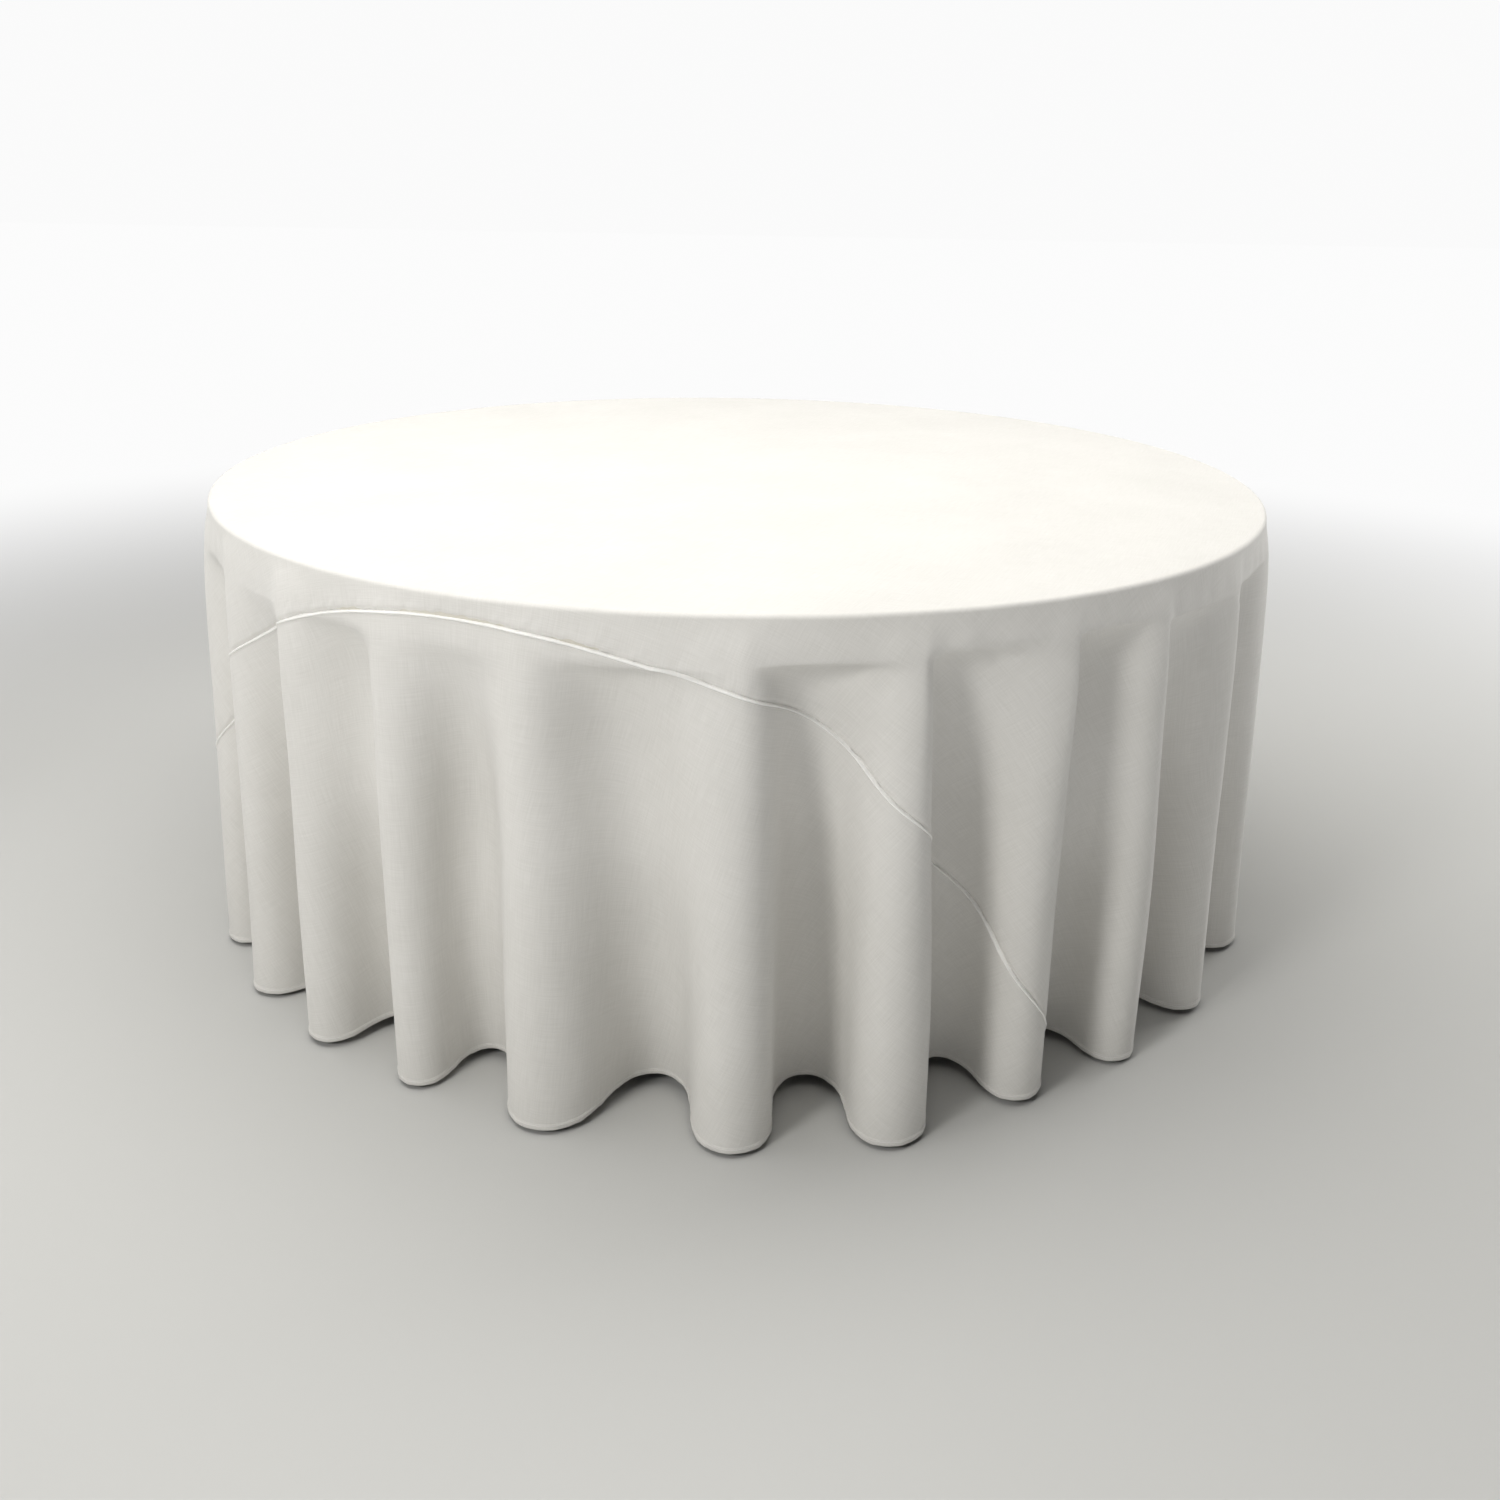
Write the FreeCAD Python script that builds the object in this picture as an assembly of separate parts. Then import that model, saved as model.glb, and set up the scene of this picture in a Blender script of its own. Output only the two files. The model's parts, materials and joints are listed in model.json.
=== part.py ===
import FreeCAD, Part
import math
import os

# A round cloth on a round folding banquet table.
#
# The cloth is a flat disc sewn from two panels. It lies on the table top, turns over the rim and hangs in
# deep folds to just above the floor. Under it stands a blow-moulded table top on two steel leg frames. Each
# frame hinges up under the top, and a two-link brace with a knee holds it open. Millimetres, +Z up, origin
# on the floor under the middle of the table. Azimuths are measured from the front (-Y) towards +X.

Vector = FreeCAD.Vector
UP = Vector(0, 0, 1)

# Table top: blow-moulded and hollow, with a deep lip round a shallow recess that takes the folded legs
TABLE_RADIUS = 914.4
TABLE_HEIGHT = 762.0
RIM_DEPTH = 55.0
PANEL_THICKNESS = 30.0
LIP_WIDTH = 34.0
MOULDED_WALL = 3.0
BOSS_RADIUS = 9.0
RIM_ROUND = 6.0
PANEL_UNDERSIDE = TABLE_HEIGHT - PANEL_THICKNESS
RIM_BOTTOM = TABLE_HEIGHT - RIM_DEPTH

# Cloth: a disc of this radius, cut in two by a straight seam this far from the middle of the disc
CLOTH_RADIUS = 1670.0
CLOTH_THICKNESS = 1.0
SEAM_DISTANCE = 944.0
SEAM_AZIMUTH = -23.6
HEM_BOTTOM = 8.0
HEM_WIDTH = 10.0
HEM_THICKNESS = 1.6
FOLD_TIP_RADIUS = 935.0
FOLD_VALLEY_RADIUS = 775.0
FOLD_TIPS = [
    0.3, 14.3, 28, 41, 54, 70, 84, 97, 111, 124, 139, 152, 165,
    180, 194, 207, 221, 234, 248, 262.5, 277, 292.5, 304.5, 316.5, 329, 343,
]  # azimuth of each fold at the hem, in degrees

# Leg frames: the narrow one folds between the legs of the wide one
HINGE_X = 560.0
HINGE_HEIGHT = PANEL_UNDERSIDE - 34.0
FOOT_X = 600.0
WIDE_LEG_Y = 400.0
NARROW_LEG_Y = 340.0
LEG_RADIUS = 14.0
BAR_RADIUS = 12.7
TUBE_WALL = 1.5
HINGE_OVERHANG = 42.0
CROSSBAR_DISTANCE = 330.0
FOOT_RADIUS = 18.0
FOOT_HEIGHT = 34.0
FOOT_SOLE = 6.0
RUNNING_CLEARANCE = 0.08

# Hinge saddles under the top
SADDLE_Y = 28.0
SADDLE_PLATE = 5.0
SADDLE_EAR_RADIUS = 20.0
FLANGE_LENGTH = 76.0
FLANGE_WIDTH = 36.0
FLANGE_THICKNESS = 2.5
FLANGE_SCREW_INSET = 8.5
SCREW_RADIUS = 2.5
SCREW_HEAD_RADIUS = 5.5
SCREW_HEAD_HEIGHT = 3.0
SCREW_LENGTH = 16.0

# Braces: one flat upper link and a lower link of two flat plates
BRACE_PIVOT_X = 100.0
BRACE_PIVOT_DROP = 12.0
BRACE_PIVOT_HEIGHT = PANEL_UNDERSIDE - BRACE_PIVOT_DROP
LINK_HALF_HEIGHT = 8.0
LINK_THICKNESS = 3.0
LINK_GAP = 0.5
PIVOT_PIN_RADIUS = 4.0
EYE_RADIUS = 19.0
RIVET_HEAD_RADIUS = 6.5
RIVET_HEAD_HEIGHT = 2.0
EAR_HALF_LENGTH = 12.0
STRAP_THICKNESS = 1.5
STRAP_SCREW_X = 40.0
STRAP_SCREW_Y = 11.0
COLLAR_WIDTH = 6.0
COLLAR_RADIUS = 16.0

# Clips that hold the folded legs
CLIP_X = -40.0
CLIP_LENGTH = 24.0
CLIP_PRONG = 4.0
CLIP_GAP = 0.6


def cylinder(radius, start, end):
    """A solid cylinder from one point to another."""
    return Part.makeCylinder(radius, (end - start).Length, start, end - start)


def tube(radius, start, end):
    """A hollow tube with the usual wall."""
    return cylinder(radius, start, end).cut(cylinder(radius - TUBE_WALL, start, end))


def block(low, high):
    """A box between two corners."""
    return Part.makeBox(high.x - low.x, high.y - low.y, high.z - low.z, low)


def mirrored(shape):
    """The same shape on the other side of the table, x turned to -x."""
    return shape.mirror(Vector(0, 0, 0), Vector(1, 0, 0))


def export(shapes, name):
    """Writes one node: one solid, or several side by side."""
    solids = []
    for shape in shapes:
        solids.extend(shape.Solids)
    for solid in solids:
        if not solid.isValid() or solid.Volume <= 0:
            raise ValueError(f"{name} has a bad solid")
    whole = solids[0] if len(solids) == 1 else Part.makeCompound(solids)
    whole.exportStep(f"parts/{name}.step")
    print(f"{name}: {len(solids)} solids, {whole.Volume / 1000:.0f} cm3")


# ---- Table top -------------------------------------------------------------------------------------

def dished_disc(wall):
    """A disc with rounded edges and a recess underneath that leaves a lip all round, all its faces moved
    inwards by the wall: the outside of the moulding at 0, the hollow inside it at its wall thickness."""
    low, high = RIM_BOTTOM + wall, TABLE_HEIGHT - wall
    disc = Part.makeCylinder(TABLE_RADIUS - wall, high - low, Vector(0, 0, low))
    round_edges = [e for e in disc.Edges if isinstance(e.Curve, Part.Circle)]
    disc = disc.makeFillet(RIM_ROUND - wall, round_edges)
    depth = PANEL_UNDERSIDE - RIM_BOTTOM
    recess = Part.makeCylinder(TABLE_RADIUS - LIP_WIDTH + wall, depth, Vector(0, 0, low))
    return disc.cut(recess)


def table_top(screws):
    """The hollow moulding, with a solid boss round each screw and the hole that the screw cuts in it."""
    hollow = dished_disc(MOULDED_WALL)
    for each in screws:
        foot = Vector(each.BoundBox.Center.x, each.BoundBox.Center.y, RIM_BOTTOM)
        hollow = hollow.cut(Part.makeCylinder(BOSS_RADIUS, RIM_DEPTH, foot))
    top = dished_disc(0).cut(hollow)
    for each in screws:
        top = top.cut(each)
    return top


# ---- Cloth -----------------------------------------------------------------------------------------

def polar(azimuth, radius, height):
    """A point from its azimuth in degrees from the front, its distance from the axis and its height."""
    angle = math.radians(azimuth)
    return Vector(radius * math.sin(angle), -radius * math.cos(angle), height)


def fold_lines():
    """Azimuth and hem radius of each crease, tips and the valleys half way between them."""
    lines = []
    for i, tip in enumerate(FOLD_TIPS):
        following = FOLD_TIPS[(i + 1) % len(FOLD_TIPS)]
        if following < tip:
            following += 360
        lines.append((tip, FOLD_TIP_RADIUS))
        lines.append(((tip + following) / 2, FOLD_VALLEY_RADIUS))
    return lines


def crease_radius(hem_radius, height):
    """Creases run straight from the foot of the rim to the hem."""
    share = (RIM_BOTTOM - height) / (RIM_BOTTOM - HEM_BOTTOM)
    return TABLE_RADIUS + CLOTH_THICKNESS + share * (hem_radius - TABLE_RADIUS)


def hanging_plate(first, second, top, bottom, thickness):
    """The cloth between two creases: a thin plate, a little twisted, mitred to its neighbours."""
    turn = math.radians(second[0] - first[0])
    rows = []
    for height in (top, bottom):
        outer = [polar(azimuth, crease_radius(hem, height), height) for azimuth, hem in (first, second)]
        level = crease_radius((first[1] + second[1]) / 2, height) * turn
        reach = thickness * (outer[1] - outer[0]).Length / level
        inner = []
        for azimuth, hem in (first, second):
            inner.append(polar(azimuth, crease_radius(hem, height) - reach, height))
        rows.append((outer, inner))
    (top_out, top_in), (low_out, low_in) = rows
    polygons = [
        [top_out[0], top_out[1], top_in[1], top_in[0]],
        [low_out[0], low_out[1], low_in[1], low_in[0]],
        [top_out[0], top_in[0], low_in[0], low_out[0]],
        [top_out[1], top_in[1], low_in[1], low_out[1]],
    ]
    for high, low in ((top_out, low_out), (top_in, low_in)):
        polygons.append([high[0], high[1], low[1]])
        polygons.append([high[0], low[1], low[0]])
    faces = [Part.Face(Part.makePolygon(points + points[:1])) for points in polygons]
    solid = Part.Solid(Part.makeShell(faces))
    if solid.Volume < 0:
        solid.reverse()
    return solid


def skirt(top, bottom, thickness):
    """All the plates between two heights."""
    lines = fold_lines()
    plates = []
    for i, first in enumerate(lines):
        azimuth, hem = lines[(i + 1) % len(lines)]
        if azimuth < first[0]:
            azimuth += 360
        plates.append(hanging_plate(first, (azimuth, hem), top, bottom, thickness))
    return plates


def cloth_cap():
    """The cloth over the top and down the rim, as far as the rim's foot."""
    rounded = []
    for layer in (CLOTH_THICKNESS, 0):
        shape = Part.makeCylinder(TABLE_RADIUS + layer, RIM_DEPTH + layer, Vector(0, 0, RIM_BOTTOM))
        rims = [e for e in shape.Edges if isinstance(e.Curve, Part.Circle)]
        top_rim = [e for e in rims if e.Curve.Center.z > RIM_BOTTOM + 1]
        rounded.append(shape.makeFillet(RIM_ROUND + layer, top_rim))
    return rounded[0].cut(rounded[1])


def side_panel_space():
    """The space that the smaller panel hangs in. Its top is the seam: on the flat disc the seam is straight,
    so at an angle from its middle it lies SEAM_DISTANCE / cos(angle) from the middle of the disc."""
    half_angle = math.acos(SEAM_DISTANCE / CLOTH_RADIUS)
    steps = 14
    profile = []
    for i in range(steps + 1):
        angle = half_angle * (2 * i / steps - 1)
        height = TABLE_HEIGHT + TABLE_RADIUS - SEAM_DISTANCE / math.cos(angle)
        share = (TABLE_HEIGHT - height) / TABLE_HEIGHT
        radius = TABLE_RADIUS + share * ((FOLD_TIP_RADIUS + FOLD_VALLEY_RADIUS) / 2 - TABLE_RADIUS)
        profile.append(Vector(0, radius * math.sin(angle), height))
    reach = 2 * TABLE_RADIUS
    below = -HEM_WIDTH
    profile.append(Vector(0, profile[-1].y, below))
    profile.insert(0, Vector(0, profile[0].y, below))
    face = Part.Face(Part.makePolygon(profile + profile[:1]))
    space = face.extrude(Vector(reach, 0, 0))
    space.rotate(Vector(0, 0, 0), UP, SEAM_AZIMUTH - 90)
    return space


def build_cloth():
    """Two panels and the rolled hem of each."""
    side_space = side_panel_space()
    hem_top = HEM_BOTTOM + HEM_WIDTH
    panels = [cloth_cap()] + skirt(RIM_BOTTOM, hem_top, CLOTH_THICKNESS)
    hems = skirt(hem_top, HEM_BOTTOM, HEM_THICKNESS)
    export([shape.cut(side_space) for shape in panels], "main_panel")
    export([shape.common(side_space) for shape in panels], "side_panel")
    export([shape.cut(side_space) for shape in hems], "main_hem")
    export([shape.common(side_space) for shape in hems], "side_hem")


# ---- Leg frames ------------------------------------------------------------------------------------

def leg_direction():
    """Unit vector down a leg, which leans outwards a little."""
    return Vector(FOOT_X - HINGE_X, 0, -HINGE_HEIGHT).normalize()


def crossbar_centre():
    """Where the crossbar's axis lies in the plane y = 0."""
    return Vector(HINGE_X, 0, HINGE_HEIGHT) + leg_direction() * CROSSBAR_DISTANCE


def at_y(point, y):
    """The same point moved sideways."""
    return Vector(point.x, y, point.z)


def leg_frame(leg_y):
    """Hinge tube, crossbar, two legs, two foot caps and two collars, on the +X side."""
    hinge = Vector(HINGE_X, 0, HINGE_HEIGHT)
    crossbar_at = crossbar_centre()
    half_hinge = leg_y + HINGE_OVERHANG
    hinge_tube = tube(BAR_RADIUS, at_y(hinge, -half_hinge), at_y(hinge, half_hinge))
    hinge_solid = cylinder(BAR_RADIUS, at_y(hinge, -half_hinge), at_y(hinge, half_hinge))
    legs, feet = [], []
    for y in (-leg_y, leg_y):
        end = at_y(hinge, y) + leg_direction() * ((HINGE_HEIGHT - FOOT_SOLE) / -leg_direction().z)
        legs.append(tube(LEG_RADIUS, at_y(hinge, y), end).cut(hinge_solid))
        cap = Part.makeCone(FOOT_RADIUS, FOOT_RADIUS - 1.5, FOOT_HEIGHT, Vector(end.x, y, 0))
        socket = cylinder(LEG_RADIUS, at_y(hinge, y), end)
        feet.append(cap.cut(socket))
    crossbar = tube(BAR_RADIUS, at_y(crossbar_at, -leg_y), at_y(crossbar_at, leg_y))
    for y in (-leg_y, leg_y):
        past_it = at_y(hinge, y) + leg_direction() * 2 * CROSSBAR_DISTANCE
        crossbar = crossbar.cut(cylinder(LEG_RADIUS, at_y(hinge, y), past_it))
    collars = []
    inner_face = 1.5 * LINK_THICKNESS + 2 * LINK_GAP
    for side in (-1, 1):
        ring = cylinder(COLLAR_RADIUS, at_y(crossbar_at, side * inner_face),
                        at_y(crossbar_at, side * (inner_face + COLLAR_WIDTH)))
        bore = cylinder(BAR_RADIUS, at_y(crossbar_at, -leg_y), at_y(crossbar_at, leg_y))
        collars.append(ring.cut(bore))
    return {
        "hinge_tube": [hinge_tube],
        "left_leg": [legs[0]],
        "right_leg": [legs[1]],
        "crossbar": [crossbar],
        "foot_caps": feet,
        "brace_collars": collars,
    }


def hinge_saddles(leg_y):
    """A plate with a bore round each end of the hinge tube, under a flange, and the flange's screws."""
    saddles, screws = [], []
    hinge = Vector(HINGE_X, 0, HINGE_HEIGHT)
    for side in (-1, 1):
        centre_y = side * (leg_y + SADDLE_Y)
        inner = centre_y - SADDLE_PLATE / 2
        outer = centre_y + SADDLE_PLATE / 2
        ear = cylinder(SADDLE_EAR_RADIUS, at_y(hinge, inner), at_y(hinge, outer))
        web = block(Vector(HINGE_X - SADDLE_EAR_RADIUS, inner, HINGE_HEIGHT),
                    Vector(HINGE_X + SADDLE_EAR_RADIUS, outer, PANEL_UNDERSIDE - FLANGE_THICKNESS))
        half_size = Vector(FLANGE_LENGTH / 2, FLANGE_WIDTH / 2, 0)
        middle = Vector(HINGE_X, centre_y, PANEL_UNDERSIDE)
        flange = block(middle - half_size - UP * FLANGE_THICKNESS, middle + half_size)
        saddle = ear.fuse([web, flange]).removeSplitter()
        saddle = saddle.cut(cylinder(BAR_RADIUS + RUNNING_CLEARANCE, at_y(hinge, centre_y - FLANGE_WIDTH),
                                     at_y(hinge, centre_y + FLANGE_WIDTH)))
        for dx in (-1, 1):
            for dy in (-1, 1):
                x = HINGE_X + dx * (FLANGE_LENGTH / 2 - FLANGE_SCREW_INSET)
                y = centre_y + dy * (FLANGE_WIDTH / 2 - FLANGE_SCREW_INSET)
                screws.append(screw(x, y, PANEL_UNDERSIDE - FLANGE_THICKNESS))
        for each in screws:
            saddle = saddle.cut(each)
        saddles.append(saddle)
    return saddles, screws


def screw(x, y, under_head):
    """A pan-head screw driven upwards: its head hangs below the plate that it holds."""
    lowest = Vector(x, y, under_head - SCREW_HEAD_HEIGHT)
    head = Part.makeCylinder(SCREW_HEAD_RADIUS, SCREW_HEAD_HEIGHT, lowest)
    shank = Part.makeCylinder(SCREW_RADIUS, SCREW_LENGTH, Vector(x, y, under_head))
    rims = [e for e in head.Edges if isinstance(e.Curve, Part.Circle)]
    lower_rim = [e for e in rims if e.Curve.Center.z < under_head - 1]
    return head.makeFillet(SCREW_HEAD_HEIGHT * 0.6, lower_rim).fuse(shank).removeSplitter()


# ---- Braces ----------------------------------------------------------------------------------------

def brace_points():
    """Pivot under the top, knee and crossbar at rest, all in the plane y = 0. The links are in line when the
    leg is down. With the leg up, the upper link lies level and the lower one folds back along it:
    (D - c)^2 = (c - s)^2 + h^2, where D is the length in line, c the upper link, s the folded distance
    between the pivots and h the height between them."""
    pivot = Vector(BRACE_PIVOT_X, 0, BRACE_PIVOT_HEIGHT)
    bar = crossbar_centre()
    in_line = (bar - pivot).Length
    folded_apart = HINGE_X - CROSSBAR_DISTANCE - BRACE_PIVOT_X
    step = BRACE_PIVOT_HEIGHT - HINGE_HEIGHT
    upper = (in_line ** 2 - folded_apart ** 2 - step ** 2) / (2 * (in_line - folded_apart))
    knee = pivot + (bar - pivot).normalize() * upper
    return pivot, knee, bar


def flat_link(start, end, start_radius, end_radius, low_y, high_y):
    """A flat bar between two pivots, round at both ends, from one side face to the other."""
    along = (end - start).normalize()
    up = Vector(0, 1, 0).cross(along).normalize() * LINK_HALF_HEIGHT
    corners = [at_y(p, low_y) for p in (start + up, end + up, end - up, start - up)]
    bar = Part.Face(Part.makePolygon(corners + corners[:1])).extrude(Vector(0, high_y - low_y, 0))
    ends = [cylinder(start_radius, at_y(start, low_y), at_y(start, high_y)),
            cylinder(end_radius, at_y(end, low_y), at_y(end, high_y))]
    return bar.fuse(ends).removeSplitter()


def brace():
    """Upper link, lower link plates, the knee's rivet heads, and the pin under the top, on the +X side."""
    pivot, knee, bar = brace_points()
    half = LINK_THICKNESS / 2
    upper = flat_link(pivot, knee, LINK_HALF_HEIGHT, LINK_HALF_HEIGHT, -half, half)
    upper = upper.cut(cylinder(PIVOT_PIN_RADIUS + RUNNING_CLEARANCE, at_y(pivot, -LINK_THICKNESS),
                               at_y(pivot, LINK_THICKNESS)))
    plates, heads = [], []
    for side in (-1, 1):
        near = side * (half + LINK_GAP)
        far = side * (half + LINK_GAP + LINK_THICKNESS)
        plate = flat_link(knee, bar, LINK_HALF_HEIGHT, EYE_RADIUS, min(near, far), max(near, far))
        eye = cylinder(BAR_RADIUS + RUNNING_CLEARANCE, at_y(bar, -FLANGE_WIDTH), at_y(bar, FLANGE_WIDTH))
        plates.append(plate.cut(eye))
        head_top = at_y(knee, far + side * RIVET_HEAD_HEIGHT)
        heads.append(cylinder(RIVET_HEAD_RADIUS, at_y(knee, far), head_top))
    pin_end = half + LINK_GAP + LINK_THICKNESS
    pin = cylinder(PIVOT_PIN_RADIUS, at_y(pivot, -pin_end), at_y(pivot, pin_end))
    pin_heads = []
    for side in (-1, 1):
        pin_heads.append(cylinder(RIVET_HEAD_RADIUS, at_y(pivot, side * pin_end),
                                  at_y(pivot, side * (pin_end + RIVET_HEAD_HEIGHT))))
    return upper, plates, heads, pin.fuse(pin_heads).removeSplitter()


def brace_mount():
    """A strap under the middle of the top, with a pair of ears for each upper link, and its screws."""
    inner = LINK_THICKNESS / 2 + LINK_GAP
    reach = BRACE_PIVOT_X + EAR_HALF_LENGTH
    strap_underside = PANEL_UNDERSIDE - STRAP_THICKNESS
    strap = block(Vector(-reach, -FLANGE_WIDTH / 2, strap_underside),
                  Vector(reach, FLANGE_WIDTH / 2, PANEL_UNDERSIDE))
    ears = []
    for end in (-1, 1):
        for side in (-1, 1):
            near, far = sorted((side * inner, side * (inner + LINK_THICKNESS)))
            x = end * BRACE_PIVOT_X
            ears.append(block(Vector(x - EAR_HALF_LENGTH, near, BRACE_PIVOT_HEIGHT - LINK_HALF_HEIGHT),
                              Vector(x + EAR_HALF_LENGTH, far, PANEL_UNDERSIDE)))
    mount = strap.fuse(ears).removeSplitter()
    for end in (-1, 1):
        at = Vector(end * BRACE_PIVOT_X, 0, BRACE_PIVOT_HEIGHT)
        mount = mount.cut(cylinder(PIVOT_PIN_RADIUS, at_y(at, -FLANGE_WIDTH), at_y(at, FLANGE_WIDTH)))
    screws = [screw(x, y, strap_underside)
              for x in (-STRAP_SCREW_X, STRAP_SCREW_X) for y in (-STRAP_SCREW_Y, STRAP_SCREW_Y)]
    for each in screws:
        mount = mount.cut(each)
    return mount, screws


def leg_clips():
    """A moulded clip for each folded leg: two prongs that the tube goes up between."""
    clips = []
    for end, leg_y in ((1, WIDE_LEG_Y), (-1, NARROW_LEG_Y)):
        for side in (-1, 1):
            x, y = end * CLIP_X, side * leg_y
            half_gap = LEG_RADIUS + CLIP_GAP
            low = HINGE_HEIGHT - LEG_RADIUS / 2
            body = block(Vector(x - CLIP_LENGTH / 2, y - half_gap - CLIP_PRONG, low),
                         Vector(x + CLIP_LENGTH / 2, y + half_gap + CLIP_PRONG, PANEL_UNDERSIDE))
            slot = block(Vector(x - CLIP_LENGTH, y - half_gap, low - 1),
                         Vector(x + CLIP_LENGTH, y + half_gap, HINGE_HEIGHT + LEG_RADIUS + CLIP_GAP))
            clips.append(body.cut(slot))
    return clips


def build_table():
    """The top, and a leg frame and brace at each end."""
    all_screws = []
    for name, leg_y, place in (("wide", WIDE_LEG_Y, lambda s: s), ("narrow", NARROW_LEG_Y, mirrored)):
        for piece, shapes in leg_frame(leg_y).items():
            export([place(s) for s in shapes], f"{name}_{piece}")
        saddles, screws = hinge_saddles(leg_y)
        export([place(saddles[0])], f"{name}_left_hinge_saddle")
        export([place(saddles[1])], f"{name}_right_hinge_saddle")
        all_screws.extend(place(s) for s in screws)
        upper, plates, heads, pin = brace()
        export([place(upper)], f"{name}_upper_link")
        export([place(plates[0])], f"{name}_lower_link_left")
        export([place(plates[1])], f"{name}_lower_link_right")
        export([place(s) for s in heads], f"{name}_knee_rivet")
        export([place(pin)], f"{name}_brace_pin")
    mount, mount_screws = brace_mount()
    export([mount], "brace_mount")
    all_screws.extend(mount_screws)
    export(all_screws, "screws")
    export(leg_clips(), "leg_clips")
    export([table_top(all_screws)], "table_top")


def main():
    os.makedirs("parts", exist_ok=True)
    build_cloth()
    build_table()
    pivot, knee, bar = brace_points()
    splay = math.degrees(math.atan2(FOOT_X - HINGE_X, HINGE_HEIGHT))
    slope = math.degrees(math.atan2(pivot.z - bar.z, bar.x - pivot.x))
    upper, lower = (knee - pivot).Length, (bar - knee).Length
    folded = math.degrees(math.asin((BRACE_PIVOT_HEIGHT - HINGE_HEIGHT) / lower))
    print(f"leg fold {90 + splay:.3f} deg; upper link turns {slope:.3f}; lower link turns on the leg "
          f"{180 - slope - folded - 90 - splay:.3f}; crossbar at {bar.x:.3f}, {bar.z:.3f}; "
          f"links {upper:.2f} and {lower:.2f}")


main()
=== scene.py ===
import json
import math

import bmesh
import bpy
import numpy as np
from mathutils import Matrix, Vector


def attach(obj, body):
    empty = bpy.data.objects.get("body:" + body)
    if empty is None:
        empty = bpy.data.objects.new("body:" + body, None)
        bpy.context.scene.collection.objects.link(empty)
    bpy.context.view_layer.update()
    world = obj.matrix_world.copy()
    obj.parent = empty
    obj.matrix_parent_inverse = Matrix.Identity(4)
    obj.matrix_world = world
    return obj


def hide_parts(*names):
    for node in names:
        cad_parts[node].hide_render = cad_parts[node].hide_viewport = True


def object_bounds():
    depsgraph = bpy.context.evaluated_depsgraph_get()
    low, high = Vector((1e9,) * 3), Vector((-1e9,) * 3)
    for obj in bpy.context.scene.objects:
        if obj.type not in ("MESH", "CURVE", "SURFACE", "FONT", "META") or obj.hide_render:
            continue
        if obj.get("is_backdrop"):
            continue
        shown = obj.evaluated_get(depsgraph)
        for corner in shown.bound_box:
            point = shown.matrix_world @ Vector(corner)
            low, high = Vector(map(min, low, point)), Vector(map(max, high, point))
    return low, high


# The looks of a round white cloth on a round folding table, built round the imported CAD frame. Metres, +Z up.
# Azimuths run from the front (-Y) towards +X. On the flat cloth a point is given by its azimuth and its
# distance from the middle of the disc.
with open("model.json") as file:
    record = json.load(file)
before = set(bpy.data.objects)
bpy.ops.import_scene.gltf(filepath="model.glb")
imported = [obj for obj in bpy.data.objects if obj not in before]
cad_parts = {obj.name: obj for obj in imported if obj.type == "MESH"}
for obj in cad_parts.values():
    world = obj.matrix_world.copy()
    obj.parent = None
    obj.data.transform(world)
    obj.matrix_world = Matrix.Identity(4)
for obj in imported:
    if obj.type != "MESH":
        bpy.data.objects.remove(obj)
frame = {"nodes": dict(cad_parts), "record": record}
low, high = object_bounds()
SIZE = {"cad_low": list(low), "cad_high": list(high)}

# ---- Camera ----------------------------------------------------------------------------------------
# A standing viewer in front of the table looks down at it a little. The frame holds more floor than air.
camera = bpy.data.objects.new("camera", bpy.data.cameras.new("camera"))
bpy.context.collection.objects.link(camera)
bpy.context.scene.camera = camera
camera.data.sensor_width = 36
camera.data.lens = 35.57
camera.data.shift_y = -0.12
EYE = (0, -2.663, 1.288)
pitch, yaw, roll = np.radians([14.97, 0.49, 1.03])
ahead = np.array([math.sin(yaw) * math.cos(pitch), math.cos(yaw) * math.cos(pitch), -math.sin(pitch)])
level = np.array([math.cos(yaw), -math.sin(yaw), 0])
upward = np.cross(level, ahead)
right = math.cos(roll) * level + math.sin(roll) * upward
up = math.cos(roll) * upward - math.sin(roll) * level
turned = np.eye(4)
turned[:3, :3] = np.stack([right, up, -ahead], axis=1)
turned[:3, 3] = EYE
camera.matrix_world = Matrix(turned)

# ---- Shape of the cloth ----------------------------------------------------------------------------
# Polyester poplin, cut as a disc and hemmed. It lies flat on the top, turns over the rim, and below it the
# spare cloth gathers in folds that deepen to the hem, which hangs just clear of the floor.
CLOTH_RADIUS = 1.670
RIM_RADIUS = 0.9154
TOP_HEIGHT = 0.763
ROLL_RADIUS = 0.007
RIM_DROP = 0.047
SIDE_START = RIM_RADIUS - ROLL_RADIUS + ROLL_RADIUS * math.pi / 2
# Drops below the rim over which the valleys, the tips and the shares of cloth between the valleys pass from
# their places at the rim to those at the hem
VALLEY_SWEEP = 0.62
TIP_SWEEP = 0.5
SHARE_SWEEP = 0.4
# Most spare length in the rings, and how much less there is on the left, where the cloth is smoother
SPARE = 0.04
LESS_SPARE = 0.03
# Rise of the ripples, of the puckers down the rim and of those above the seam
RIPPLE = 0.0016
RIM_PUCKER = 0.0005
SEAM_PUCKER = 0.0006

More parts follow.
